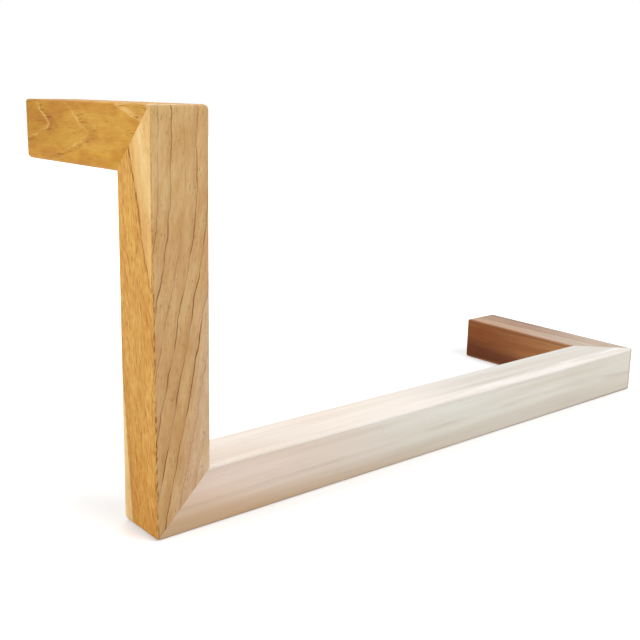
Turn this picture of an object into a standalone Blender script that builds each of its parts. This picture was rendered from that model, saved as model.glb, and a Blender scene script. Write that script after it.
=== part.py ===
"""Floating bookshelf: four square hardwood bars, three mitres, two keyhole plates at the wall.

The bar starts at the wall, comes forward as the upper return, drops as the post, runs along
the front as the rail that carries the load, and goes back to the wall as the lower return.
Metres, +X along the front rail, +Y towards the wall, +Z up. The origin is on the surface that
the shelf can stand on, under the middle of its box.
"""

import math

import bmesh
import bpy
from mathutils import Matrix, Vector

# Frame
LENGTH = 0.490
HEIGHT = 0.250
DEPTH = 0.160
BAR = 0.038
EASE = 0.002
EASE_STEPS = 4
GLUE_LINE = 0.0003

# Dowels across each mitre, two side by side
DOWEL_RADIUS = 0.004
DOWEL_SPACING = 0.017
DOWEL_FROM_INNER = 0.0225
DOWEL_COVER = 0.005
DOWEL_FIT = 0.0003
DOWEL_END_GAP = 0.0008
DOWEL_CHAMFER = 0.001
FLUTES = 14
FLUTE_DEPTH = 0.0004
FLUTE_LAND = 0.6

# Keyhole plate, let into the end grain of each return
PLATE_THICK = 0.0016
PLATE_SINK = 0.0002
PLATE_FIT = 0.0003
PLATE_RIM = 0.002
PLATE_TIP = 0.0012
KEY_ENTRY_RADIUS = 0.00425
KEY_SLOT_RADIUS = 0.00225
KEY_ENTRY_DROP = 0.00175
KEY_SLOT_RISE = 0.0026
POCKET_MARGIN = 0.001
POCKET_DEPTH = 0.009

# Countersunk screws that hold the plates
SCREW_LENGTH = 0.016
SCREW_RADIUS = 0.0015
SCREW_HEAD_RADIUS = 0.00275
SCREW_TIP = 0.003
SCREW_FIT = 0.0003
SCREW_TO_KEYHOLE = 0.00245
PILOT_SPARE = 0.001

# How far a cutter reaches past the face that it opens
CUTTER_OVERRUN = 0.002
ROUND_STEPS = 24

# Where a dowel's axis crosses its mitre, from the outer corner, and how deep its hole may go
DOWEL_ALONG = math.sqrt(2) * BAR - DOWEL_FROM_INNER
DOWEL_DEPTH = DOWEL_ALONG - DOWEL_RADIUS - DOWEL_FIT - math.sqrt(2) * DOWEL_COVER

# The plate is as large as its keyhole and its two countersinks need
SINK_RADIUS = SCREW_HEAD_RADIUS + SCREW_FIT
SCREW_SPACING = 2 * (KEY_ENTRY_RADIUS + SCREW_TO_KEYHOLE + SINK_RADIUS)
PLATE_LENGTH = SCREW_SPACING + 2 * (SINK_RADIUS + PLATE_TIP)
KEY_REACH = max(KEY_ENTRY_DROP + KEY_ENTRY_RADIUS, KEY_SLOT_RISE + KEY_SLOT_RADIUS)
PLATE_WIDTH = 2 * (KEY_REACH + PLATE_RIM)

# Colours
GOLDEN_WOOD = (0.610, 0.330, 0.075, 1.0)
TAN_WOOD = (0.560, 0.350, 0.165, 1.0)
PALE_WOOD = (0.690, 0.600, 0.480, 1.0)
PINK_WOOD = (0.560, 0.400, 0.270, 1.0)
BEECH = (0.640, 0.450, 0.260, 1.0)
ZINC = (0.620, 0.620, 0.600, 1.0)


def material(name, colour, roughness, metallic=0.0):
    """A Principled material of one colour."""
    made = bpy.data.materials.new(name)
    made.use_nodes = True
    shader = made.node_tree.nodes["Principled BSDF"]
    shader.inputs["Base Color"].default_value = colour
    shader.inputs["Roughness"].default_value = roughness
    shader.inputs["Metallic"].default_value = metallic
    made.diffuse_color = colour
    return made


def add_object(name, bm, parent, finish=None, location=(0, 0, 0), axes=None):
    """An object from a bmesh, under the parent. Axes are its own X, Y and Z as columns."""
    bmesh.ops.recalc_face_normals(bm, faces=bm.faces)
    mesh = bpy.data.meshes.new(name)
    bm.to_mesh(mesh)
    bm.free()
    obj = bpy.data.objects.new(name, mesh)
    bpy.context.scene.collection.objects.link(obj)
    obj.parent = parent
    obj.location = location
    if axes:
        obj.rotation_euler = Matrix(axes).transposed().to_euler()
    if finish:
        mesh.materials.append(finish)
        mesh.shade_smooth()
        mesh.set_sharp_from_angle(angle=math.radians(35))
    else:
        obj.hide_render = True
        obj.display_type = "WIRE"
    return obj


def cut(obj, cutter):
    """Takes the cutter's shape out of the object."""
    modifier = obj.modifiers.new(cutter.name, "BOOLEAN")
    modifier.operation = "DIFFERENCE"
    modifier.solver = "EXACT"
    modifier.object = cutter


def arc(centre, radius, start, end, steps):
    """Points along an arc in a plane, angles in degrees, both ends included."""
    angles = [math.radians(start + (end - start) * i / steps) for i in range(steps + 1)]
    return [(centre[0] + radius * math.cos(a), centre[1] + radius * math.sin(a)) for a in angles]


def prism(outline, back, front):
    """A closed outline in X and Z, drawn out along Y from back to front."""
    bm = bmesh.new()
    base = bm.faces.new([bm.verts.new((x, back, z)) for x, z in outline])
    grown = bmesh.ops.extrude_face_region(bm, geom=[base])["geom"]
    moved = [item for item in grown if isinstance(item, bmesh.types.BMVert)]
    bmesh.ops.translate(bm, verts=moved, vec=(0, front - back, 0))
    return bm


def turned(profile):
    """A profile of radius and Y, from axis to axis, spun round Y."""
    bm = bmesh.new()
    points = [bm.verts.new((radius, y, 0)) for radius, y in profile]
    edges = [bm.edges.new(pair) for pair in zip(points, points[1:])]
    bmesh.ops.spin(
        bm, geom=points + edges, cent=(0, 0, 0), axis=(0, 1, 0), angle=2 * math.pi, steps=ROUND_STEPS
    )
    bmesh.ops.remove_doubles(bm, verts=bm.verts, dist=1e-6)
    return bm


def draw_out(bm, near, direction, distance):
    """Makes the frame longer at the face that looks along the direction, nearest to a point."""
    direction = Vector(direction)
    facing = [face for face in bm.faces if face.normal.dot(direction) > 0.99]
    face = min(facing, key=lambda f: (f.calc_center_median() - Vector(near)).length)
    grown = bmesh.ops.extrude_face_region(bm, geom=[face])["geom"]
    moved = [item for item in grown if isinstance(item, bmesh.types.BMVert)]
    bmesh.ops.translate(bm, verts=moved, vec=direction * distance)
    bmesh.ops.delete(bm, geom=[face], context="FACES_ONLY")
    bmesh.ops.recalc_face_normals(bm, faces=bm.faces)


def eased_frame():
    """The whole frame as it leaves the sander: one bent square bar with its outer edges rounded."""
    up = (0, 0, 1)
    right = (1, 0, 0)
    back = (0, 1, 0)
    bm = bmesh.new()
    bmesh.ops.create_cube(bm, size=BAR)
    bmesh.ops.translate(bm, verts=bm.verts, vec=(BAR / 2, BAR / 2, BAR / 2))
    draw_out(bm, (0, 0, BAR), up, HEIGHT - 2 * BAR)
    draw_out(bm, (0, 0, HEIGHT - BAR), up, BAR)
    draw_out(bm, (0, BAR, HEIGHT), back, DEPTH - BAR)
    draw_out(bm, (BAR, 0, 0), right, LENGTH - 2 * BAR)
    draw_out(bm, (LENGTH - BAR, 0, 0), right, BAR)
    draw_out(bm, (LENGTH, BAR, 0), back, DEPTH - BAR)
    bmesh.ops.dissolve_limit(bm, angle_limit=0.01, verts=bm.verts, edges=bm.edges)
    outer = [edge for edge in bm.edges if edge.is_convex]
    bmesh.ops.bevel(
        bm, geom=outer, offset=EASE, offset_type="OFFSET", segments=EASE_STEPS, profile=0.5, affect="EDGES"
    )
    return bm


class Mitre:
    """A 45 degree joint. Across leads from the outer corner to the inner one, normal leads
    into the second bar, and side runs along the joint's edge."""

    def __init__(self, name, corner, across, normal, side):
        self.name = name
        self.corner = Vector(corner)
        self.across = Vector(across).normalized()
        self.normal = Vector(normal).normalized()
        self.side = Vector(side)

    def dowel_centres(self):
        middle = self.corner + self.across * DOWEL_ALONG
        return [middle + self.side * offset for offset in (-DOWEL_SPACING / 2, DOWEL_SPACING / 2)]

    def axes(self):
        """Own X, Y and Z of a piece whose Y runs through the joint."""
        return (self.side.cross(self.normal), self.normal, -self.side)


UPPER = Mitre("upper_mitre", (BAR / 2, 0, HEIGHT), (0, 1, -1), (0, 1, 1), (1, 0, 0))
FRONT = Mitre("front_mitre", (0, BAR / 2, 0), (1, 0, 1), (1, 0, -1), (0, 1, 0))
LOWER = Mitre("lower_mitre", (LENGTH, 0, BAR / 2), (-1, 1, 0), (1, 1, 0), (0, 0, 1))


def sawn_bar(name, sides, parent, finish):
    """One bar: the part of the frame on the given side, -1 or 1, of each mitre in the list."""
    bm = eased_frame()
    for mitre, side in sides:
        outward = mitre.normal * -side
        cut_result = bmesh.ops.bisect_plane(
            bm,
            geom=bm.verts[:] + bm.edges[:] + bm.faces[:],
            plane_co=mitre.corner - outward * GLUE_LINE / 2,
            plane_no=outward,
            clear_outer=True,
        )["geom_cut"]
        rim = [item for item in cut_result if isinstance(item, bmesh.types.BMEdge)]
        if rim:
            bmesh.ops.edgeloop_fill(bm, edges=rim)
    return add_object(name, bm, parent, finish)


def fluted_dowel():
    """A dowel along Y with pressed flutes and chamfered ends."""
    half = DOWEL_DEPTH - DOWEL_END_GAP
    ring = []
    for flute in range(FLUTES):
        for share, depth in ((0, 0), (FLUTE_LAND, 0), ((1 + FLUTE_LAND) / 2, FLUTE_DEPTH)):
            angle = 2 * math.pi * (flute + share) / FLUTES
            ring.append((angle, DOWEL_RADIUS - depth))
    stations = (
        (-half, DOWEL_CHAMFER),
        (-half + DOWEL_CHAMFER, 0),
        (half - DOWEL_CHAMFER, 0),
        (half, DOWEL_CHAMFER),
    )
    bm = bmesh.new()
    loops = []
    for y, shrink in stations:
        points = [(math.cos(a) * (r - shrink), y, math.sin(a) * (r - shrink)) for a, r in ring]
        loops.append([bm.verts.new(point) for point in points])
    for lower, upper in zip(loops, loops[1:]):
        for i in range(len(ring)):
            j = (i + 1) % len(ring)
            bm.faces.new((lower[i], lower[j], upper[j], upper[i]))
    bm.faces.new(loops[0])
    bm.faces.new(list(reversed(loops[-1])))
    return bm


def dowel_joint(mitre, bars, parent, finish):
    """Two dowels across a mitre, and their holes in both bars."""
    radius = DOWEL_RADIUS + DOWEL_FIT
    bore = [(0, -DOWEL_DEPTH), (radius, -DOWEL_DEPTH), (radius, DOWEL_DEPTH), (0, DOWEL_DEPTH)]
    for number, centre in enumerate(mitre.dowel_centres(), 1):
        hole = add_object(f"{mitre.name}_hole_{number}", turned(bore), parent, None, centre, mitre.axes())
        for bar in bars:
            cut(bar, hole)
        add_object(f"{mitre.name}_dowel_{number}", fluted_dowel(), parent, finish, centre, mitre.axes())


def stadium(length, width):
    """An outline with straight long sides and round ends, long along X."""
    straight = (length - width) / 2
    steps = ROUND_STEPS // 2
    right = arc((straight, 0), width / 2, -90, 90, steps)
    left = arc((-straight, 0), width / 2, 90, 270, steps)
    return right + left


def keyhole():
    """The round entry below, and the narrow slot above that hooks behind a screw's head."""
    meet = math.degrees(math.acos(KEY_SLOT_RADIUS / KEY_ENTRY_RADIUS))
    entry = arc((0, -KEY_ENTRY_DROP), KEY_ENTRY_RADIUS, 180 - meet, 360 + meet, ROUND_STEPS)
    slot_end = arc((0, KEY_SLOT_RISE), KEY_SLOT_RADIUS, 0, 180, ROUND_STEPS // 2)
    return entry + slot_end


def head_pocket():
    """Room behind the plate for the wall screw's head to rise."""
    radius = KEY_ENTRY_RADIUS + POCKET_MARGIN
    steps = ROUND_STEPS // 2
    top = arc((0, KEY_SLOT_RISE), radius, 0, 180, steps)
    bottom = arc((0, -KEY_ENTRY_DROP), radius, 180, 360, steps)
    return top + bottom


def screw_profile(fit, length):
    """A countersunk screw along Y, its head flush at Y 0, grown by fit for its hole."""
    head_height = SCREW_HEAD_RADIUS - SCREW_RADIUS
    return [
        (0, 0),
        (SCREW_HEAD_RADIUS + fit, 0),
        (SCREW_RADIUS + fit, -head_height),
        (SCREW_RADIUS + fit, -length + SCREW_TIP),
        (0, -length),
    ]


def countersink_profile():
    """The plate's screw hole: a cone for the head, then clear through."""
    radius = SCREW_RADIUS + SCREW_FIT
    return [
        (0, CUTTER_OVERRUN),
        (SINK_RADIUS, CUTTER_OVERRUN),
        (SINK_RADIUS, 0),
        (radius, radius - SINK_RADIUS),
        (radius, -PLATE_THICK - CUTTER_OVERRUN),
        (0, -PLATE_THICK - CUTTER_OVERRUN),
    ]


def hanger(name, bar, centre, parent, finish):
    """A keyhole plate in the end of a return, its two screws and all that is cut for them."""
    face = -PLATE_SINK
    back = face - PLATE_THICK
    floor = back - PLATE_FIT
    recess = prism(
        stadium(PLATE_LENGTH + 2 * PLATE_FIT, PLATE_WIDTH + 2 * PLATE_FIT), floor, CUTTER_OVERRUN
    )
    cut(bar, add_object(f"{name}_recess", recess, parent, None, centre))
    pocket = prism(head_pocket(), -POCKET_DEPTH, CUTTER_OVERRUN)
    cut(bar, add_object(f"{name}_pocket", pocket, parent, None, centre))

    blank = prism(stadium(PLATE_LENGTH, PLATE_WIDTH), back, face)
    plate = add_object(f"{name}_plate", blank, parent, finish, centre)
    opening = prism(keyhole(), back - CUTTER_OVERRUN, face + CUTTER_OVERRUN)
    cut(plate, add_object(f"{name}_keyhole", opening, parent, None, centre))

    for number, side in enumerate((-1, 1), 1):
        place = Vector(centre) + Vector((side * SCREW_SPACING / 2, face, 0))
        sink = add_object(f"{name}_sink_{number}", turned(countersink_profile()), parent, None, place)
        cut(plate, sink)
        pilot = turned(screw_profile(SCREW_FIT, SCREW_LENGTH + PILOT_SPARE))
        cut(bar, add_object(f"{name}_pilot_{number}", pilot, parent, None, place))
        add_object(f"{name}_screw_{number}", turned(screw_profile(0, SCREW_LENGTH)), parent, finish, place)


def build():
    for obj in list(bpy.data.objects):
        bpy.data.objects.remove(obj)
    corner = bpy.data.objects.new("front_left_corner", None)
    corner.location = (-LENGTH / 2, -DEPTH / 2, 0)
    bpy.context.scene.collection.objects.link(corner)

    golden = material("golden_wood", GOLDEN_WOOD, 0.5)
    tan = material("tan_wood", TAN_WOOD, 0.5)
    pale = material("pale_wood", PALE_WOOD, 0.5)
    pink = material("pink_wood", PINK_WOOD, 0.5)
    beech = material("beech", BEECH, 0.6)
    zinc = material("zinc_plated_steel", ZINC, 0.35, 1.0)

    upper_return = sawn_bar("upper_return", [(FRONT, -1), (UPPER, 1)], corner, golden)
    post = sawn_bar("post", [(FRONT, -1), (UPPER, -1)], corner, tan)
    front_rail = sawn_bar("front_rail", [(FRONT, 1), (LOWER, -1)], corner, pale)
    lower_return = sawn_bar("lower_return", [(FRONT, 1), (LOWER, 1)], corner, pink)

    dowel_joint(UPPER, (upper_return, post), corner, beech)
    dowel_joint(FRONT, (post, front_rail), corner, beech)
    dowel_joint(LOWER, (front_rail, lower_return), corner, beech)

    hanger("upper_hanger", upper_return, (BAR / 2, DEPTH, HEIGHT - BAR / 2), corner, zinc)
    hanger("lower_hanger", lower_return, (LENGTH - BAR / 2, DEPTH, BAR / 2), corner, zinc)


build()
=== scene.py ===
"""Floating bookshelf: four oiled hardwood bars with three mitres, hung on two keyhole plates."""

import math

import bmesh
import bpy
from mathutils import Matrix, Vector


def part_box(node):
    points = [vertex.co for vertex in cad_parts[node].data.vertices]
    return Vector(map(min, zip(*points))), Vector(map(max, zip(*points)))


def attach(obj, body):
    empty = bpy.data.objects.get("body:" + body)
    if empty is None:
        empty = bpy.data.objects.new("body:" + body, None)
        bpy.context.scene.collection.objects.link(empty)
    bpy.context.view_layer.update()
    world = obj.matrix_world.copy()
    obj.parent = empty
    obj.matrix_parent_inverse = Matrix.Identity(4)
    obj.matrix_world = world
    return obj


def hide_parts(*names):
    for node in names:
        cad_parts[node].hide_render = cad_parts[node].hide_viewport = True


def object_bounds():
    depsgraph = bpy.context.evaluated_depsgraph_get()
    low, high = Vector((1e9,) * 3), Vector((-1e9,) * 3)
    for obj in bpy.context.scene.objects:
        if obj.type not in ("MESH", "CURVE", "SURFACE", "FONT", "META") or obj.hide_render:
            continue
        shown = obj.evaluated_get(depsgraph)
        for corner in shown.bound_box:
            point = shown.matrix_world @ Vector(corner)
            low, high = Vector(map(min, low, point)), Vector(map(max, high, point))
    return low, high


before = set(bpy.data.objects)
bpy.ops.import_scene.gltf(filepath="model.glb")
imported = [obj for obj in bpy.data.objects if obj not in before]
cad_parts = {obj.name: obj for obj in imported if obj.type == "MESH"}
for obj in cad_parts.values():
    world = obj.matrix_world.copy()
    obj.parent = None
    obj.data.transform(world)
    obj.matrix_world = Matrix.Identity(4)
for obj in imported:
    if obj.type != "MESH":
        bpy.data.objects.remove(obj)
cad_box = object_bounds()

# Upper return
# The short bar that comes forward from the wall at the top, sawn from golden hardwood.
# Its front end is mitred at 45 degrees to the post, glued and doweled, and all edges are
# sanded round by hand once the frame is together. The wall end is routed for a keyhole plate.
corner, far_corner = cad_box
length, depth, height = far_corner - corner
post_low, post_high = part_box("post")
bar = post_high.x - post_low.x
edge_round = 0.002
crisp_round = 0.0012
worn_round = 0.0034
wall_end_round = 0.005
foot_round = 0.0056
largest_round = foot_round
edge_steps = 8
close_by = bar / 4
square_on = 0.99
flat_angle = 0.01
glue_line = 0.00012
bore_radius = 0.0043
bore_end_gap = 0.0008
round_sides = 48
smooth_angle = math.radians(40)


def choose(piece, kind, wanted):
    """Selects, in edit mode, only the faces, edges or vertices of the piece that the test wants."""
    bpy.ops.object.mode_set(mode="EDIT")
    bpy.ops.mesh.select_mode(type=kind)
    bpy.ops.mesh.select_all(action="DESELECT")
    shape = bmesh.from_edit_mesh(piece.data)
    shape.normal_update()
    items = {"FACE": shape.faces, "EDGE": shape.edges, "VERT": shape.verts}
    for item in items[kind]:
        item.select_set(wanted(item))
    bmesh.update_edit_mesh(piece.data)


def facing(direction, near):
    """A test for the face that looks along a direction, with its middle near a point."""
    direction = Vector(direction)
    return lambda face: (
        face.normal.dot(direction) > square_on and (face.calc_center_median() - near).length < close_by
    )


def draw_out(*moves):
    """Extrudes the selected face by each move in turn."""
    for move in moves:
        bpy.ops.mesh.extrude_region_move(TRANSFORM_OT_translate={"value": move})


def apply_modifiers(piece):
    """Applies the piece's modifiers in order."""
    bpy.ops.object.select_all(action="DESELECT")
    piece.select_set(True)
    bpy.context.view_layer.objects.active = piece
    for modifier in list(piece.modifiers):
        bpy.ops.object.modifier_apply(modifier=modifier.name)


def sanded_radius(edge):
    """How far the sander rounded this edge of the frame: most alike, a few crisp or worn."""
    middle = (edge.verts[0].co + edge.verts[1].co) / 2 - corner
    run = edge.verts[1].co - edge.verts[0].co
    runs_across, runs_back, runs_up = (abs(value) > bar / 2 for value in run)
    at_left, at_front, at_bottom = (value < close_by for value in middle)
    at_top = middle.z > height - close_by
    at_wall = middle.y > depth - close_by
    if runs_up and at_left and at_front:
        return crisp_round
    if runs_across and at_wall and abs(middle.z - height + bar) < close_by:
        return wall_end_round
    if runs_back and at_top and not at_left:
        return worn_round
    if runs_back and at_bottom and at_left:
        return worn_round
    if runs_across and at_bottom and abs(middle.y - bar) < close_by:
        return foot_round
    return edge_round


def sanded_frame():
    """The frame as one bent square bar, with its outer edges sanded round."""
    half = Vector((bar, bar, bar)) / 2
    bpy.ops.object.select_all(action="DESELECT")
    bpy.ops.mesh.primitive_cube_add(size=bar, location=corner + half)
    bpy.ops.object.transform_apply(location=True, rotation=True, scale=True)
    blank = bpy.context.object
    top_block = corner + half + Vector((0, 0, height - bar))
    right_block = corner + half + Vector((length - bar, 0, 0))
    choose(blank, "FACE", facing((0, 0, 1), corner + half + Vector((0, 0, bar / 2))))
    draw_out((0, 0, height - 2 * bar), (0, 0, bar))
    choose(blank, "FACE", facing((0, 1, 0), top_block + Vector((0, bar / 2, 0))))
    draw_out((0, depth - bar, 0))
    choose(blank, "FACE", facing((1, 0, 0), corner + half + Vector((bar / 2, 0, 0))))
    draw_out((length - 2 * bar, 0, 0), (bar, 0, 0))
    choose(blank, "FACE", facing((0, 1, 0), right_block + Vector((0, bar / 2, 0))))
    draw_out((0, depth - bar, 0))
    bpy.ops.mesh.select_all(action="SELECT")
    bpy.ops.mesh.dissolve_limited(angle_limit=flat_angle)
    shape = bmesh.from_edit_mesh(blank.data)
    weights = shape.edges.layers.float.new("bevel_weight_edge")
    for edge in shape.edges:
        if edge.is_convex:
            edge[weights] = sanded_radius(edge) / largest_round
    bmesh.update_edit_mesh(blank.data)
    bpy.ops.object.mode_set(mode="OBJECT")
    sanding = blank.modifiers.new("sanding", "BEVEL")
    sanding.limit_method = "WEIGHT"
    sanding.width = largest_round
    sanding.segments = edge_steps
    apply_modifiers(blank)
    choose(blank, "VERT", lambda vert: vert.co.z < corner.z)
    bpy.ops.transform.resize(value=(1, 1, 0), center_override=corner)
    bpy.ops.object.mode_set(mode="OBJECT")
    return blank


upper_mitre = (corner + Vector((0, 0, height)), Vector((0, 1, 1)).normalized())
front_mitre = (corner, Vector((1, 0, -1)).normalized())
lower_mitre = (corner + Vector((length, 0, 0)), Vector((1, 1, 0)).normalized())
blank = sanded_frame()


def sawn_bar(name, *mitres):
    """A copy of the frame, sawn off at each mitre on the side that its sign names."""
    bpy.ops.object.select_all(action="DESELECT")
    blank.select_set(True)
    bpy.context.view_layer.objects.active = blank
    bpy.ops.object.duplicate()
    piece = bpy.context.object
    piece.name = piece.data.name = name
    for (point, normal), side in mitres:
        outward = normal * -side
        bpy.ops.object.mode_set(mode="EDIT")
        bpy.ops.mesh.select_all(action="SELECT")
        bpy.ops.mesh.bisect(
            plane_co=point - outward * glue_line / 2, plane_no=outward, use_fill=True, clear_outer=True
        )
        bpy.ops.object.mode_set(mode="OBJECT")
    return piece


def cut(piece, *cutters):
    """Takes each cutter's shape out of the piece and throws the cutter away."""
    for cutter in cutters:
        hole = piece.modifiers.new(cutter.name, "BOOLEAN")
        hole.operation = "DIFFERENCE"
        hole.solver = "EXACT"
        hole.object = cutter
    apply_modifiers(piece)
    for cutter in cutters:
        bpy.data.objects.remove(cutter)


def dowel_bore(dowel, normal):
    """A drill-shaped cutter round a dowel of the frame, along the mitre's normal."""
    low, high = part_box(dowel)
    thick = sum(size for size, share in zip(high - low, normal) if share == 0)
    run = max(high - low) * math.sqrt(2) - thick + 2 * bore_end_gap
    bpy.ops.object.select_all(action="DESELECT")
    bpy.ops.mesh.primitive_cylinder_add(
        vertices=round_sides,
        radius=bore_radius,
        depth=run,
        location=(low + high) / 2,
        rotation=normal.to_track_quat("Z", "Y").to_euler(),
    )
    return bpy.context.object


def drill_mitre(piece, mitre_name, normal):
    """Drills the two dowel holes of a mitre."""
    cut(piece, *[dowel_bore(f"{mitre_name}_dowel_{number}", normal) for number in (1, 2)])


plate_fit = 0.0003
plate_inset = 0.0002
head_pocket_depth = 0.009
head_pocket_radius = 0.00525
entry_radius = 0.00425
entry_drop = 0.00175
slot_radius = 0.00225
slot_rise = 0.0026
pilot_radius = 0.0018
pilot_spare = 0.001
round_end = 0.998


def slot_block(middle, size):
    """A block along Y with round ends in X and Z, such as a router leaves."""
    bpy.ops.object.select_all(action="DESELECT")
    bpy.ops.mesh.primitive_cube_add(size=1, location=middle)
    piece = bpy.context.object
    piece.scale = size
    bpy.ops.object.transform_apply(location=True, rotation=True, scale=True)
    choose(piece, "EDGE", lambda edge: abs((edge.verts[0].co - edge.verts[1].co).y) > size[1] / 2)
    bpy.ops.mesh.bevel(
        offset=min(size[0], size[2]) / 2 * round_end,
        offset_type="OFFSET",
        segments=round_sides // 4,
        profile=0.5,
        affect="EDGES",
    )
    bpy.ops.object.mode_set(mode="OBJECT")
    return piece


def rout_for_plate(piece, plate, screws):
    """Routs a return's wall end for its keyhole plate, the wall screw's head and the pilot holes."""
    low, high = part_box(plate)
    middle = (low + high) / 2
    seat = high - low + 2 * Vector((plate_fit, plate_fit, plate_fit))
    seat_block = slot_block(middle + Vector((0, plate_inset, 0)), seat)
    pocket_height = entry_drop + slot_rise + 2 * head_pocket_radius
    pocket_middle = Vector((middle.x, high.y, middle.z + (slot_rise - entry_drop) / 2))
    pocket = slot_block(pocket_middle, (2 * head_pocket_radius, 2 * head_pocket_depth, pocket_height))
    pilots = []
    for screw in screws:
        screw_low, screw_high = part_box(screw)
        place = (screw_low + screw_high) / 2
        bpy.ops.object.select_all(action="DESELECT")
        bpy.ops.mesh.primitive_cylinder_add(
            vertices=round_sides // 2,
            radius=pilot_radius,
            depth=screw_high.y - screw_low.y + 2 * pilot_spare,
            location=place,
            rotation=(math.pi / 2, 0, 0),
        )
        pilots.append(bpy.context.object)
    cut(piece, seat_block, pocket, *pilots)


def finish_faces(piece):
    """Smooth rounds beside flat faces: the flat ones keep their own normals."""
    bpy.ops.object.select_all(action="DESELECT")
    piece.select_set(True)
    bpy.context.view_layer.objects.active = piece
    bpy.ops.object.shade_smooth_by_angle(angle=smooth_angle)
    weighted = piece.modifiers.new("flat faces", "WEIGHTED_NORMAL")
    weighted.keep_sharp = True
    apply_modifiers(piece)


def linear(hex_colour):
    """An sRGB hex colour as the linear RGBA that a socket takes."""
    shares = [int(hex_colour[i : i + 2], 16) / 255 for i in (1, 3, 5)]
    return [s / 12.92 if s <= 0.04045 else ((s + 0.055) / 1.055) ** 2.4 for s in shares] + [1.0]


def add_node(tree, kind, inputs=(), **settings):
    """Adds a node with its settings; each input is a value or another node's output."""
    node = tree.nodes.new(kind)
    for name, value in settings.items():
        setattr(node, name, value)
    for socket, value in dict(inputs).items():
        if isinstance(value, bpy.types.NodeSocket):
            tree.links.new(value, node.inputs[socket])
        else:
            node.inputs[socket].default_value = value
    return node.outputs


noise_low, noise_middle, noise_high = 0.3, 0.5, 0.7
patch_gone, patch_whole = 0.38, 0.6
streak_begins, streak_full = 0.35, 0.68
faintest_ring = 0.05
line_core = 0.3
pore_edge = 0.08
pore_drop = -0.8
grain_relief = 0.25
grain_height = 0.0002
oiled_smooth, oiled_dull = 0.46, 0.6
oiled_ior = 1.47
oiled_specular = 0.18


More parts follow.
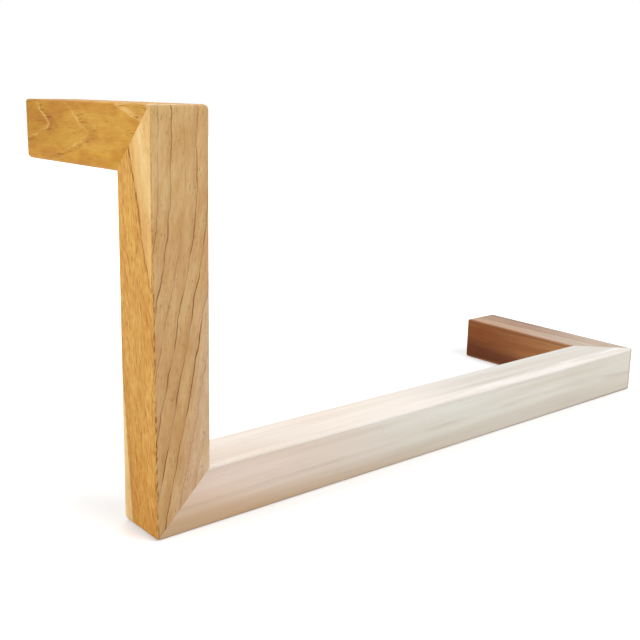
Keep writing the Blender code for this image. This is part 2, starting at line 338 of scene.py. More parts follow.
def oiled_wood(name, grain, lean, colour, layers, figure, rings, pores, seed):
    """Solid oiled hardwood on Object coordinates, in millimetres from the frame's front left corner.

    grain is the axis that the fibres run along, and lean turns them off it, in degrees. layers are
    drawn over the colour in turn. One with along is another colour of the same board, from where it
    begins to where it is full in that direction. One with centre is a line at that share of each year
    ring. A broken one comes and goes with the pattern of growth that its breaks name, or in patches.
    rings are the year rings: a sloped field with one ridge, so that they bow or point as in sawn wood,
    with a long wander and a short waver. figure is streaks that darken the colour, from clouds down to
    fibres. These and the pores are finer in the real wood, and drawn as coarse as they need to show.
    """
    made = bpy.data.materials.new(name)
    made.use_nodes = True
    tree = made.node_tree
    tree.nodes.clear()
    place = add_node(tree, "ShaderNodeTexCoord")["Object"]
    home = [-1000 * value for value in corner]
    mm = add_node(
        tree, "ShaderNodeMapping", {"Vector": place, "Location": home, "Scale": (1000, 1000, 1000)}
    )[0]

    # Uneven growth: how wide and long each pattern is, in millimetres, and how many finer steps it has
    sizes = {
        "wander": (*rings["wander_mm"], 2),
        "patch": (*rings["break_mm"], 2),
        "pore": (*pores["mm"], 1),
    }
    if "waver" in rings:
        sizes["waver"] = (*rings["waver_mm"], 1)
    for row, (across, along, *_) in enumerate(figure):
        sizes[row] = (across, along, 3)
    growth = {}
    turn = [math.radians(angle) for angle in lean]
    for pattern, (across, along, detail) in sizes.items():
        stretch = [across / 1000] * 3
        stretch[grain] = along / 1000
        drawn_out = add_node(
            tree,
            "ShaderNodeMapping",
            {"Vector": place, "Location": (seed, seed, seed), "Rotation": turn, "Scale": stretch},
            vector_type="TEXTURE",
        )[0]
        growth[pattern] = add_node(
            tree, "ShaderNodeTexNoise", {"Vector": drawn_out, "Scale": 1, "Detail": detail}
        )[0]
    broken = add_node(
        tree,
        "ShaderNodeMapRange",
        {0: growth["patch"], 1: patch_gone, 2: patch_whole},
        interpolation_type="SMOOTHSTEP",
    )[0]
    wander = add_node(
        tree, "ShaderNodeMath", {0: growth["wander"], 1: noise_middle}, operation="SUBTRACT"
    )[0]

    # Year rings: the field, the place in the ring and each ring's own strength
    sloped = add_node(
        tree, "ShaderNodeVectorMath", {0: mm, 1: rings["slope"]}, operation="DOT_PRODUCT"
    )[1]
    arm = add_node(tree, "ShaderNodeVectorMath", {0: mm, 1: rings["ridge"]}, operation="DOT_PRODUCT")[1]
    off_ridge = add_node(tree, "ShaderNodeMath", {0: arm, 1: rings["ridge_at"]}, operation="SUBTRACT")[0]
    squared = add_node(
        tree,
        "ShaderNodeMath",
        {0: off_ridge, 1: off_ridge, 2: rings["ridge_round"] ** 2},
        operation="MULTIPLY_ADD",
    )[0]
    hump = add_node(tree, "ShaderNodeMath", {0: squared}, operation="SQRT")[0]
    even = add_node(
        tree, "ShaderNodeMath", {0: hump, 1: rings["ridge_slope"], 2: sloped}, operation="MULTIPLY_ADD"
    )[0]
    field = add_node(
        tree, "ShaderNodeMath", {0: wander, 1: rings["wander"], 2: even}, operation="MULTIPLY_ADD"
    )[0]
    if "waver" in rings:
        waver = add_node(
            tree, "ShaderNodeMath", {0: growth["waver"], 1: noise_middle}, operation="SUBTRACT"
        )[0]
        field = add_node(
            tree, "ShaderNodeMath", {0: waver, 1: rings["waver"], 2: field}, operation="MULTIPLY_ADD"
        )[0]
    cycle = add_node(
        tree,
        "ShaderNodeMath",
        {0: field, 1: 1 / rings["width"], 2: rings["shift"]},
        operation="MULTIPLY_ADD",
    )[0]
    number = add_node(tree, "ShaderNodeMath", {0: cycle}, operation="FLOOR")[0]
    share = add_node(tree, "ShaderNodeMath", {0: cycle}, operation="FRACT")[0]
    luck = add_node(tree, "ShaderNodeTexWhiteNoise", {"W": number}, noise_dimensions="1D")["Value"]
    lucky = add_node(tree, "ShaderNodeMapRange", {0: luck, 3: faintest_ring, 4: 1.0})[0]

    # The board's colours and its ring lines
    tone = linear(colour)
    for layer in layers:
        if "along" in layer:
            reach = add_node(
                tree, "ShaderNodeVectorMath", {0: mm, 1: layer["along"]}, operation="DOT_PRODUCT"
            )[1]
            reach = add_node(
                tree,
                "ShaderNodeMath",
                {0: wander, 1: layer.get("wander", 0.0), 2: reach},
                operation="MULTIPLY_ADD",
            )[0]
            begins, full = layer["begins"], layer["full"]
        else:
            reach = add_node(
                tree, "ShaderNodeMath", {0: share, 1: layer["centre"]}, operation="SUBTRACT"
            )[0]
            reach = add_node(tree, "ShaderNodeMath", {0: reach}, operation="ABSOLUTE")[0]
            begins, full = layer["half"], layer["half"] * line_core
        cover = add_node(
            tree,
            "ShaderNodeMapRange",
            {0: reach, 1: begins, 2: full, 4: layer.get("strength", 1.0)},
            interpolation_type="SMOOTHSTEP",
        )[0]
        if "centre" in layer:
            cover = add_node(tree, "ShaderNodeMath", {0: cover, 1: lucky}, operation="MULTIPLY")[0]
        if layer.get("broken"):
            pattern, gone, whole = layer.get("breaks", ("patch", patch_gone, patch_whole))
            gaps = add_node(
                tree,
                "ShaderNodeMapRange",
                {0: growth[pattern], 1: gone, 2: whole, 3: 1 - layer["broken"], 4: 1.0},
                interpolation_type="SMOOTHSTEP",
            )[0]
            cover = add_node(tree, "ShaderNodeMath", {0: cover, 1: gaps}, operation="MULTIPLY")[0]
        tone = add_node(
            tree, "ShaderNodeMix", {0: cover, 6: tone, 7: linear(layer["colour"])}, data_type="RGBA"
        )[2]

    # Streaks along the fibres
    for row, (*_, tint, strength) in enumerate(figure):
        cover = add_node(
            tree,
            "ShaderNodeMapRange",
            {0: growth[row], 1: streak_begins, 2: streak_full, 4: strength},
            interpolation_type="SMOOTHSTEP",
        )[0]
        tone = add_node(
            tree,
            "ShaderNodeMix",
            {0: cover, 6: tone, 7: linear(tint)},
            data_type="RGBA",
            blend_type="MULTIPLY",
        )[2]
    fibre = growth[len(figure) - 1]

    # Pores: short dark dashes along the fibres
    pore = add_node(
        tree,
        "ShaderNodeMapRange",
        {0: growth["pore"], 1: pores["from"], 2: pores["from"] + pore_edge},
        interpolation_type="SMOOTHSTEP",
    )[0]
    cover = add_node(tree, "ShaderNodeMath", {0: pore, 1: pores["strength"]}, operation="MULTIPLY")[0]
    cover = add_node(tree, "ShaderNodeMath", {0: cover, 1: broken}, operation="MULTIPLY")[0]
    tone = add_node(
        tree, "ShaderNodeMix", {0: cover, 6: tone, 7: linear(pores["colour"])}, data_type="RGBA"
    )[2]

    # Sanded and oiled: the fibres stand a little, the pores lie open, the sheen is soft
    relief = add_node(
        tree, "ShaderNodeMath", {0: pore, 1: pore_drop, 2: fibre}, operation="MULTIPLY_ADD"
    )[0]
    normal = add_node(
        tree, "ShaderNodeBump", {"Strength": grain_relief, "Distance": grain_height, "Height": relief}
    )[0]
    rough = add_node(
        tree,
        "ShaderNodeMapRange",
        {0: fibre, 1: noise_low, 2: noise_high, 3: oiled_smooth, 4: oiled_dull},
    )[0]
    shader = add_node(
        tree,
        "ShaderNodeBsdfPrincipled",
        {
            "Base Color": tone,
            "Roughness": rough,
            "IOR": oiled_ior,
            "Specular IOR Level": oiled_specular,
            "Normal": normal,
        },
    )[0]
    add_node(tree, "ShaderNodeOutputMaterial", {"Surface": shader})
    return made


# Golden oiled hardwood, planed and sanded: amber with pale pointed ring streaks and orange clouds. Its
# golden tone is partly painted warm light from the left.
pale_streak = (-1.2, -0.288, 1)
golden_wood = oiled_wood(
    "golden_oiled_hardwood",
    grain=1,
    lean=(-4, 0, 0),
    colour="#C8993C",
    layers=[
        {"colour": "#B48215", "along": (0, 1, 0), "begins": 60, "full": 150, "strength": 0.9},
        {"colour": "#C5921C", "along": (0, -1, -1.2), "begins": -312, "full": -280, "broken": 0.8},
        {"colour": "#A9741E", "centre": 0.66, "half": 0.16, "strength": 0.5, "broken": 0.8},
        {"colour": "#E6C583", "centre": 0.5, "half": 0.055, "strength": 0.54, "broken": 0.8},
        {"colour": "#C69730", "along": (0, 0, -1), "begins": -226, "full": -219, "strength": 0.8},
        {
            "colour": "#E6C583",
            "along": pale_streak,
            "begins": 237.0,
            "full": 237.8,
            "strength": 0.6,
            "wander": 3,
        },
        {
            "colour": "#80510F",
            "along": pale_streak,
            "begins": 238.2,
            "full": 238.8,
            "strength": 0.6,
            "wander": 3,
            "broken": 1.0,
            "breaks": (2, 0.5, 0.6),
        },
        {
            "colour": "#C89E46",
            "along": pale_streak,
            "begins": 239.6,
            "full": 242.2,
            "strength": 0.9,
            "wander": 3,
        },
        {"colour": "#BE9136", "along": (1, 0, 0), "begins": 4, "full": 30, "strength": 0.5},
        {
            "colour": "#80510F",
            "centre": 0.62,
            "half": 0.08,
            "strength": 0.65,
            "broken": 1.0,
            "breaks": (2, 0.5, 0.62),
        },
        {"colour": "#9C6C22", "along": (0, 1, 0), "begins": 159.2, "full": 159.7, "strength": 0.5},
        {"colour": "#D3BA9A", "along": (0, -1, 1), "begins": 244, "full": 247.6, "strength": 0.95},
    ],
    figure=[
        (10, 26, "#E6C893", 0.7),
        (3.5, 24, "#ECD2A2", 0.4),
        (1.0, 12, "#EBD2A8", 0.25),
    ],
    rings={
        "wander": 12.0,
        "wander_mm": (7, 20),
        "waver": 8.0,
        "waver_mm": (4, 8),
        "break_mm": (6, 16),
        "slope": (11, -1, -0.45),
        "ridge": (0, -0.092, 1),
        "ridge_at": 223.3,
        "ridge_round": 4,
        "ridge_slope": 2.85,
        "width": 56,
        "shift": 6.453,
    },
    pores={"mm": (0.8, 6), "from": 0.63, "strength": 0.5, "colour": "#7F5216"},
    seed=3.1,
)
upper_return = sawn_bar("upper_return_bar", (front_mitre, -1), (upper_mitre, 1))
drill_mitre(upper_return, "upper_mitre", upper_mitre[1])
rout_for_plate(upper_return, "upper_hanger_plate", ("upper_hanger_screw_1", "upper_hanger_screw_2"))
finish_faces(upper_return)
upper_return.data.materials.append(golden_wood)
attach(upper_return, "root")
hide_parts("upper_return")

# Post
# The upright bar at the front left corner, of the same hardwood with tan heartwood and dark ring
# lines at the front. It is mitred at both ends, to the upper return and to the front rail.
# Tan oiled hardwood: thin dark ring lines that lean to the left, a yellow sapwood wedge at the side, and
# the side itself golden as painted warm light.
sapwood_wedge = (40, 1, -0.285)
tan_wood = oiled_wood(
    "tan_oiled_hardwood",
    grain=2,
    lean=(-9, 8, 0),
    colour="#C6A475",
    layers=[
        {"colour": "#D5BB86", "along": (-2, 0, 1), "begins": 130, "full": 245, "strength": 0.7},
        {
            "colour": "#CBB096",
            "along": (1, 0, -0.16),
            "begins": 6,
            "full": 24,
            "strength": 0.9,
            "wander": 8,
        },
        {"colour": "#A97D4C", "centre": 0.36, "half": 0.24, "strength": 0.3, "broken": 0.5},
        {"colour": "#6C3F1A", "centre": 0.5, "half": 0.058, "strength": 0.92, "broken": 0.62},
        {"colour": "#CDAE7A", "along": (0, 0, 1), "begins": 150, "full": 225, "strength": 0.22},
        {"colour": "#CDB597", "along": (1, 0, -0.16), "begins": 18, "full": 25, "strength": 0.8},
        {
            "colour": "#74401A",
            "along": (1, 0, 0.007),
            "begins": 2.6,
            "full": 1.6,
            "strength": 0.85,
            "broken": 1.0,
            "breaks": (2, 0.44, 0.58),
        },
        # Painted warm light: the left side golden, a lit copy of the tan wood, and a little darker towards
        # its foot as painted shade.
        {"colour": "#D09F4B", "along": (1, 0, 0), "begins": 0.9, "full": 0.5},
        {"colour": "#D09534", "along": (40, 0, 1), "begins": 110, "full": 0, "strength": 0.5},
        {
            "colour": "#9C6420",
            "along": (1, 0, 0),
            "begins": 0.9,
            "full": 0.5,
            "strength": 0.58,
            "broken": 1.0,
            "breaks": (2, 0.52, 0.68),
        },
        {
            "colour": "#E6BF70",
            "along": (1, 0, 0),
            "begins": 0.9,
            "full": 0.5,
            "strength": 0.42,
            "broken": 1.0,
            "breaks": (2, 0.46, 0.34),
        },
        {
            "colour": "#7F4717",
            "along": sapwood_wedge,
            "begins": -38.8,
            "full": -41.0,
            "wander": 5,
            "broken": 0.9,
            "breaks": (2, 0.42, 0.58),
        },
        {"colour": "#D8AE66", "along": sapwood_wedge, "begins": -41.0, "full": -42.4, "wander": 5},
        {"colour": "#E6C689", "along": sapwood_wedge, "begins": -41.0, "full": -55, "wander": 5},
        {"colour": "#B57F2C", "along": (-40, 1, -0.1), "begins": 18, "full": 26, "strength": 0.4},
        {"colour": "#E8CB92", "along": (-0.25, 1, -0.087), "begins": 27.2, "full": 28.4, "wander": 2},
    ],
    figure=[
        (12, 50, "#EAD6BA", 0.5),
        (3.5, 40, "#EBD6B8", 0.4),
        (0.9, 14, "#E8D2B0", 0.34),
    ],
    rings={
        "wander": 4.0,
        "wander_mm": (10, 30),
        "waver": 1.9,
        "waver_mm": (5, 11),
        "break_mm": (8, 26),
        "slope": (1, 0.39, -0.115),
        "ridge": (0, 0, 1),
        "ridge_at": 188,
        "ridge_round": 15,
        "ridge_slope": 0.107,
        "width": 8.25,
        "shift": -556.49,
    },
    pores={"mm": (0.7, 5), "from": 0.63, "strength": 0.45, "colour": "#77501F"},
    seed=7.7,
)
post = sawn_bar("post_bar", (front_mitre, -1), (upper_mitre, -1))
drill_mitre(post, "upper_mitre", upper_mitre[1])
drill_mitre(post, "front_mitre", front_mitre[1])
finish_faces(post)
post.data.materials.append(tan_wood)
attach(post, "root")
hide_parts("post")

# Front rail
# The long bar along the front that carries the load, sawn from the pale sapwood side of a board.
# It is mitred upright to the post at the left and flat to the lower return at the right.
# Pale oiled hardwood: ivory with faint grey streaks, pinkish tan towards the left, and a tan patch at the
# bottom left.
# Painted shade makes it tan and darker towards the bottom and along the bottom edge; on the top, a painted
# highlight runs along the front edge, with painted shade behind it.
pale_wood = oiled_wood(
    "pale_oiled_hardwood",
    grain=0,
    lean=(0, 0, 0),
    colour="#D8D6CE",
    layers=[
        {"colour": "#DAC7BA", "along": (-1, 0, 0), "begins": -255, "full": -30},
        {
            "colour": "#C79E65",
            "along": (-1, 0, -2.8),
            "begins": -130,
            "full": -50,
            "strength": 0.4,
            "wander": 8,
        },
        # Painted shade: this layer and the next make the bar tan and darker towards the bottom.
        {
            "colour": "#B8A590",
            "along": (0, 0, -1),
            "begins": -17,
            "full": -2,
            "strength": 0.34,
            "wander": 5,
        },
        {
            "colour": "#BC965F",
            "along": (-0.05, 0, -1),
            "begins": -23,
            "full": -3,
            "strength": 0.44,
            "wander": 5,
        },
        # Painted shade: the back part of the top greyer, behind the painted highlight at the front.
        {"colour": "#D0CDC7", "along": (0, 1, 0), "begins": 7.5, "full": 11, "wander": 1},
        # Painted highlight: the top front edge and the front of the top paler.
        {"colour": "#E7E5E3", "along": (0, -0.2, 1), "begins": 35.8, "full": 36.5},
        {"colour": "#CFC5B8", "centre": 0.3, "half": 0.3, "strength": 0.3, "broken": 0.5},
        {"colour": "#A8988A", "centre": 0.5, "half": 0.22, "strength": 0.3, "broken": 0.8},
        {"colour": "#E2D9D1", "along": (-1, 0, 100), "begins": 3480, "full": 3620},
        # Painted shade: the bottom edge and the underside darker, as a contact shadow.
        {"colour": "#9A8570", "along": (0.005, 0, -1), "begins": 0, "full": 1, "strength": 0.6},
        {"colour": "#AA907C", "along": (1, 0, 0), "begins": 486, "full": 488, "strength": 0.7},
    ],
    figure=[
        (12, 160, "#EDE6DE", 0.5),
        (3.5, 120, "#F0EAE2", 0.4),
        (1.0, 40, "#F4EFE8", 0.16),
    ],
    rings={
        "wander": 6.0,
        "wander_mm": (12, 140),
        "break_mm": (9, 60),
        "slope": (0.012, 0.35, 1),
        "ridge": (1, 0, 0),
        "ridge_at": 380,
        "ridge_round": 90,
        "ridge_slope": 0.03,
        "width": 11,
        "shift": -19.915,
    },
    pores={"mm": (0.6, 10), "from": 0.68, "strength": 0.2, "colour": "#A8937C"},
    seed=11.3,
)
front_rail = sawn_bar("front_rail_bar", (front_mitre, 1), (lower_mitre, -1))
drill_mitre(front_rail, "front_mitre", front_mitre[1])
drill_mitre(front_rail, "lower_mitre", lower_mitre[1])
finish_faces(front_rail)
front_rail.data.materials.append(pale_wood)
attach(front_rail, "root")
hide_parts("front_rail")

# Lower return
# The short bar from the rail's right end back to the wall, mitred flat to the rail. Its inner
# side is painted brown as shade. The wall end is routed for the second keyhole plate.
# Pinkish oiled hardwood: tan above, with darker streaks, and painted shade in brown at the inner side.
pink_wood = oiled_wood(
    "pinkish_oiled_hardwood",
    grain=1,
    lean=(0, 0, 0),
    colour="#BBA18C",
    layers=[
        {
            "colour": "#A38A77",
            "along": (1, 0, 0),
            "begins": 461,
            "full": 470,
            "strength": 0.8,
            "wander": 6,
        },
        {"colour": "#8A7160", "along": (1, 0, 0), "begins": 477, "full": 485, "strength": 0.6},
        {"colour": "#BDB1A4", "along": (0, -1, 0), "begins": -115, "full": -30, "wander": 8},
        {"colour": "#86664E", "along": (0, 1, 0), "begins": 159.2, "full": 159.7, "strength": 0.4},
        {"colour": "#A68366", "centre": 0.36, "half": 0.24, "strength": 0.4, "broken": 0.5},
        {"colour": "#6E4A32", "centre": 0.5, "half": 0.07, "strength": 0.55, "broken": 0.5},
        # Painted shade: the inner side orange brown, browner towards the wall end, darkest towards the foot
        # and along its top edge.
        {"colour": "#D69E6A", "along": (-1, 0, 0), "begins": -452.9, "full": -452.5},
        {"colour": "#955729", "along": (-40, 1, 0), "begins": -18060, "full": -17930},
        {
            "colour": "#5A2A12",
            "along": (-40, 0.08, -1),
            "begins": -18093,
            "full": -18078,
            "strength": 0.7,
        },
        {"colour": "#8F5C38", "along": (-2, 0, 1), "begins": -869.8, "full": -868.7, "strength": 0.6},
    ],
    figure=[
        (12, 120, "#E6D5C6", 0.6),
        (3.5, 90, "#E9D9CA", 0.6),
        (1.0, 26, "#E8D8C8", 0.45),
    ],
    rings={
        "wander": 4.0,
        "wander_mm": (12, 90),
        "break_mm": (9, 30),
        "slope": (0.9, 0.05, 0.5),
        "ridge": (0, 1, 0),
        "ridge_at": 90,
        "ridge_round": 50,
        "ridge_slope": 0.05,
        "width": 9,
        "shift": 0.5,
    },
    pores={"mm": (0.6, 7), "from": 0.64, "strength": 0.45, "colour": "#7E5A40"},
    seed=15.9,
)
lower_return = sawn_bar("lower_return_bar", (front_mitre, 1), (lower_mitre, 1))
bpy.data.objects.remove(blank)
drill_mitre(lower_return, "lower_mitre", lower_mitre[1])
rout_for_plate(lower_return, "lower_hanger_plate", ("lower_hanger_screw_1", "lower_hanger_screw_2"))
finish_faces(lower_return)
lower_return.data.materials.append(pink_wood)
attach(lower_return, "root")
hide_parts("lower_return")

# Mitre dowels
# Six fluted beech dowels, two across each mitre, glued in blind. They are turned and pressed in
# a mill, and none shows once the frame is together. The solids of the frame are kept.
# Beech: pale pinkish brown with the short dark flecks of its rays.
beech = oiled_wood(
    "milled_beech",
    grain=2,
    lean=(0, 0, 0),
    colour="#D3A979",
    layers=[{"colour": "#B98C5E", "centre": 0.5, "half": 0.3, "strength": 0.4}],
    figure=[(3, 30, "#EAD6BC", 0.5), (0.8, 12, "#E6CFB2", 0.4)],
    rings={
        "wander": 1.0,
        "wander_mm": (4, 20),
        "break_mm": (4, 12),
        "slope": (1, 0.3, 0),
        "ridge": (0, 0, 1),
        "ridge_at": 0,
        "ridge_round": 20,
        "ridge_slope": 0.02,
        "width": 3,
        "shift": 0.0,
    },
    pores={"mm": (0.4, 2.5), "from": 0.62, "strength": 0.6, "colour": "#8C5E38"},
    seed=21.0,
)
for mitre_name in ("upper_mitre", "front_mitre", "lower_mitre"):
    for number in (1, 2):
        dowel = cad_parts[f"{mitre_name}_dowel_{number}"]
        dowel.data.materials.clear()
        dowel.data.materials.append(beech)

# Keyhole plates
# Pressed steel plates, zinc plated, let into the wall ends of the two returns. Each hooks over
# a screw in the wall: the head goes in at the round entry and the shelf drops onto the slot.
plate_edge = 0.0003
plate_edge_steps = 3
rim_angle = math.radians(60)
same_place = 1e-6
sink_radius = 0.00305
sink_overrun = 0.00002


def cylinder(place, radius, run):
    """A round cutter along Y."""
    bpy.ops.object.select_all(action="DESELECT")
    bpy.ops.mesh.primitive_cylinder_add(
        vertices=round_sides, radius=radius, depth=run, location=place, rotation=(math.pi / 2, 0, 0)
    )
    return bpy.context.object


spangle_mm = 1.6
scratch_mm = (10, 0.25, 0.25)
zinc_smooth, zinc_dull = 0.28, 0.46
scratch_relief = 0.12
scratch_height = 0.00005


def zinc_plated(name, seed):
    """Zinc plating on pressed steel: bluish grey, matt spangle and fine rolling scratches."""
    made = bpy.data.materials.new(name)
    made.use_nodes = True
    tree = made.node_tree
    tree.nodes.clear()
    place = add_node(tree, "ShaderNodeTexCoord")["Object"]
    spangle_place = add_node(
        tree,
        "ShaderNodeMapping",
        {"Vector": place, "Location": (seed,) * 3, "Scale": (1000 / spangle_mm,) * 3},
    )[0]
    spangle = add_node(tree, "ShaderNodeTexNoise", {"Vector": spangle_place, "Scale": 1, "Detail": 3})[0]
    scratch_place = add_node(
        tree, "ShaderNodeMapping", {"Vector": place, "Scale": [1000 / size for size in scratch_mm]}
    )[0]
    scratch = add_node(tree, "ShaderNodeTexNoise", {"Vector": scratch_place, "Scale": 1, "Detail": 1})[0]
    tone = add_node(
        tree,
        "ShaderNodeMix",
        {0: spangle, 6: linear("#8E9296"), 7: linear("#B4B7B9")},
        data_type="RGBA",
    )[2]
    rough = add_node(
        tree,
        "ShaderNodeMapRange",
        {0: spangle, 1: noise_low, 2: noise_high, 3: zinc_smooth, 4: zinc_dull},
    )[0]
    normal = add_node(
        tree,
        "ShaderNodeBump",
        {"Strength": scratch_relief, "Distance": scratch_height, "Height": scratch},
    )[0]
    shader = add_node(
        tree,
        "ShaderNodeBsdfPrincipled",
        {"Base Color": tone, "Metallic": 1.0, "Roughness": rough, "Normal": normal},
    )[0]
    add_node(tree, "ShaderNodeOutputMaterial", {"Surface": shader})
    return made


def placed_copy(piece, name, move, turn=0.0):
    """A copy of a piece with its own mesh, turned about its Y axis and moved."""
    low, high = [Vector(end) for end in (piece.bound_box[0], piece.bound_box[6])]
    bpy.ops.object.select_all(action="DESELECT")
    piece.select_set(True)
    bpy.context.view_layer.objects.active = piece
    bpy.ops.object.duplicate()
    copy = bpy.context.object
    copy.name = copy.data.name = name
    bpy.ops.transform.rotate(value=turn, orient_axis="Y", center_override=(low + high) / 2)
    bpy.ops.transform.translate(value=move)
    bpy.ops.object.transform_apply(location=True, rotation=True, scale=True)
    return copy


plate_low, plate_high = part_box("upper_hanger_plate")
middle = (plate_low + plate_high) / 2
through = 4 * (plate_high.y - plate_low.y)
sink_depth = sink_radius - pilot_radius
upper_plate = slot_block(middle, plate_high - plate_low)
upper_plate.name = upper_plate.data.name = "upper_keyhole_plate"
entry = cylinder(middle - Vector((0, 0, entry_drop)), entry_radius, through)
slot_height = slot_rise + entry_drop + slot_radius
slot_middle = middle + Vector((0, 0, slot_rise + slot_radius - slot_height / 2))
slot = slot_block(slot_middle, (2 * slot_radius, through, slot_height))
cut(upper_plate, entry, slot)
sinks = []
for number in (1, 2):
    screw_low, screw_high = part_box(f"upper_hanger_screw_{number}")
    seat = Vector(((screw_low.x + screw_high.x) / 2, plate_high.y, middle.z))
    bpy.ops.object.select_all(action="DESELECT")
    bpy.ops.mesh.primitive_cone_add(
        vertices=round_sides,
        radius1=sink_radius,
        radius2=pilot_radius,
        depth=sink_depth,
        location=seat - Vector((0, sink_depth / 2 - sink_overrun, 0)),
        rotation=(math.pi / 2, 0, 0),
    )
    sinks.append(bpy.context.object)
    sinks.append(cylinder(seat, pilot_radius, through))
cut(upper_plate, *sinks)
choose(
    upper_plate,
    "EDGE",
    lambda edge: all(abs(vert.co.y - plate_high.y) < same_place for vert in edge.verts)
    and edge.calc_face_angle(0) > rim_angle,
)
bpy.ops.mesh.bevel(
    offset=plate_edge, segments=plate_edge_steps, profile=0.5, affect="EDGES", clamp_overlap=True
)
bpy.ops.object.mode_set(mode="OBJECT")
finish_faces(upper_plate)
upper_plate.data.materials.append(zinc_plated("zinc_plated_pressed_steel", 2.0))
lower_plate = placed_copy(upper_plate, "lower_keyhole_plate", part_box("lower_hanger_plate")[0] - plate_low)
for piece, node in ((upper_plate, "upper_hanger_plate"), (lower_plate, "lower_hanger_plate")):
    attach(piece, "root")
    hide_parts(node)

# Plate screws
# Countersunk wood screws with a cross recess, cold headed and rolled from steel wire and zinc
# plated. Two hold each plate, their heads flush with it.
head_radius = 0.00275
shank_radius = 0.0015
head_rim = 0.0002
screw_tip = 0.003
tip_share = 0.08
recess_width = 0.0008
recess_length = 0.0031
recess_depth = 0.0011
recess_taper = 0.55
screw_low, screw_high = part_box("upper_hanger_screw_1")
place = Vector(((screw_low.x + screw_high.x) / 2, screw_high.y, (screw_low.z + screw_high.z) / 2))
head_height = head_radius - shank_radius
bpy.ops.object.select_all(action="DESELECT")
bpy.ops.mesh.primitive_cylinder_add(
    vertices=round_sides // 2,
    radius=head_radius,
    depth=head_rim,
    location=place - Vector((0, head_rim / 2, 0)),
    rotation=(math.pi / 2, 0, 0),
)
bpy.ops.object.transform_apply(location=True, rotation=True, scale=True)
first_screw = bpy.context.object
first_screw.name = first_screw.data.name = "upper_plate_screw_1"
choose(first_screw, "FACE", lambda face: face.normal.y < -square_on)
steps = (
    (head_height, shank_radius / head_radius),
    (screw_high.y - screw_low.y - screw_tip - head_height - head_rim, 1.0),
    (screw_tip, tip_share),
)
for run, scale in steps:
    draw_out((0, -run, 0))
    bpy.ops.transform.resize(value=(scale, 1, scale), center_override=place)
bpy.ops.object.mode_set(mode="OBJECT")
wings = []
wide_wing = (recess_length, recess_depth * 2, recess_width)
tall_wing = (recess_width, recess_depth * 2, recess_length)
for size in (wide_wing, tall_wing):
    bpy.ops.object.select_all(action="DESELECT")
    bpy.ops.mesh.primitive_cube_add(size=1, location=place)
    wing = bpy.context.object
    wing.scale = size
    bpy.ops.object.transform_apply(location=True, rotation=True, scale=True)
    choose(wing, "FACE", lambda face: face.normal.y < -square_on)
    bpy.ops.transform.resize(value=(recess_taper, 1, recess_taper), center_override=place)
    bpy.ops.object.mode_set(mode="OBJECT")
    wings.append(wing)
cut(first_screw, *wings)
finish_faces(first_screw)
first_screw.data.materials.append(zinc_plated("zinc_plated_screw_steel", 5.0))
screws = {"upper_hanger_screw_1": first_screw}
for end, number, turn in (("upper", 2, 35), ("lower", 1, 70), ("lower", 2, 15)):
    node = f"{end}_hanger_screw_{number}"
    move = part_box(node)[0] - screw_low
    screws[node] = placed_copy(first_screw, f"{end}_plate_screw_{number}", move, math.radians(turn))
for node, screw in screws.items():
    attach(screw, "root")
    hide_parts(node)

# Floor
# A plain white studio floor, of matt paint. What looks at it straight or in a reflection sees it
# lifted to white away from the shelf, and the shelf's shadow stays.
floor_size = 8.0
shelf_reach = (0.5, 1, 0)
lift_begins = 0.12
lift_full = 0.6
least_lift = 0.28


def seen_straight(tree):
    """1 for a ray that looks straight, in a reflection or through glass, and 0 for stray light."""
    ray = add_node(tree, "ShaderNodeLightPath")
    seen = ray["Is Camera Ray"]
    for kind in ("Is Glossy Ray", "Is Transmission Ray"):
        seen = add_node(tree, "ShaderNodeMath", {0: seen, 1: ray[kind]}, operation="MAXIMUM")[0]
    return seen


bpy.ops.object.select_all(action="DESELECT")
bpy.ops.mesh.primitive_plane_add(size=floor_size, location=(0, 0, 0))
floor = bpy.context.object
floor.name = "studio_floor"
white_floor = bpy.data.materials.new("white_studio_floor")
white_floor.use_nodes = True
tree = white_floor.node_tree
tree.nodes.clear()
place = add_node(tree, "ShaderNodeTexCoord")["Object"]
squeezed = add_node(tree, "ShaderNodeVectorMath", {0: place, 1: shelf_reach}, operation="MULTIPLY")[0]
from_shelf = add_node(tree, "ShaderNodeVectorMath", {0: squeezed}, operation="LENGTH")[1]
lift = add_node(
    tree, "ShaderNodeMapRange", {0: from_shelf, 1: lift_begins, 2: lift_full, 3: least_lift, 4: 1.0}
)[0]
lift = add_node(tree, "ShaderNodeMath", {0: lift, 1: seen_straight(tree)}, operation="MULTIPLY")[0]
matt = add_node(tree, "ShaderNodeBsdfDiffuse", {"Color": linear("#DCDCDC")})[0]
glow = add_node(tree, "ShaderNodeEmission", {"Strength": lift})[0]
both = add_node(tree, "ShaderNodeAddShader", {0: matt, 1: glow})[0]
add_node(tree, "ShaderNodeOutputMaterial", {"Surface": both})
floor.data.materials.append(white_floor)

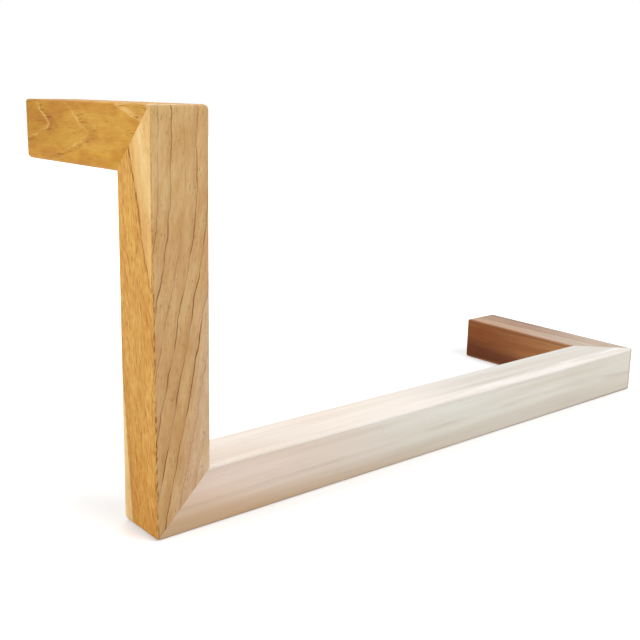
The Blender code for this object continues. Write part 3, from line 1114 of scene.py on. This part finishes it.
# Light
# Soft studio light: a white world for fill, large softboxes above the front and overhead, and a
# smaller one close at the left.
fill_level = 0.44
world = bpy.data.worlds.new("studio")
bpy.context.scene.world = world
world.use_nodes = True
tree = world.node_tree
tree.nodes.clear()
level = add_node(tree, "ShaderNodeMapRange", {0: seen_straight(tree), 3: fill_level, 4: 1.0})[0]
sky = add_node(tree, "ShaderNodeBackground", {"Color": (1, 1, 1, 1), "Strength": level})[0]
add_node(tree, "ShaderNodeOutputWorld", {"Surface": sky})


def softbox(name, place, aim, size, power, tint):
    """A square area lamp that looks at a point."""
    lamp = bpy.data.lights.new(name, "AREA")
    lamp.shape = "SQUARE"
    lamp.size = size
    lamp.energy = power
    lamp.color = tint
    holder = bpy.data.objects.new(name, lamp)
    bpy.context.scene.collection.objects.link(holder)
    holder.location = place
    holder.rotation_euler = (Vector(aim) - Vector(place)).to_track_quat("-Z", "Y").to_euler()
    holder.visible_camera = False


white = (1.0, 1.0, 1.0)
warm_white = (1.0, 0.995, 0.985)
softbox("front_softbox", (0.55, -1.5, 1.7), aim=(0, 0, 0.05), size=1.4, power=36, tint=warm_white)
softbox("top_softbox", (0.15, 0.9, 2.0), aim=(0, 0, 0), size=1.0, power=20, tint=white)
softbox("left_softbox", (-0.95, 0.0, 0.35), aim=(0, 0, 0.12), size=0.5, power=3.1, tint=white)

# Camera
# At the photograph's viewing angle, worked out from the corners and edges of the frame. The small
# shift is the photograph's crop.
lens_mm = 52.669
sensor_mm = 36.0
azimuth = math.radians(-39.051)
elevation = math.radians(12.422)
roll = math.radians(0.978)
eye = Vector((-0.49904, -0.51906, 0.258))
crop_shift = 0.0359
near_clip = 0.01
back = Vector(
    (
        math.sin(azimuth) * math.cos(elevation),
        -math.cos(azimuth) * math.cos(elevation),
        math.sin(elevation),
    )
)
level_right = Vector((0, 0, 1)).cross(back).normalized()
level_up = back.cross(level_right)
right = level_right * math.cos(roll) + level_up * math.sin(roll)
up = level_up * math.cos(roll) - level_right * math.sin(roll)
lens = bpy.data.cameras.new("studio_camera")
lens.lens = lens_mm
lens.sensor_width = sensor_mm
lens.clip_start = near_clip
lens.shift_x = crop_shift
lens.shift_y = -crop_shift
camera = bpy.data.objects.new("studio_camera", lens)
bpy.context.scene.collection.objects.link(camera)
camera.matrix_world = Matrix.Translation(eye) @ Matrix((right, up, back)).transposed().to_4x4()
bpy.context.scene.camera = camera
bpy.context.scene.view_settings.view_transform = "Standard"
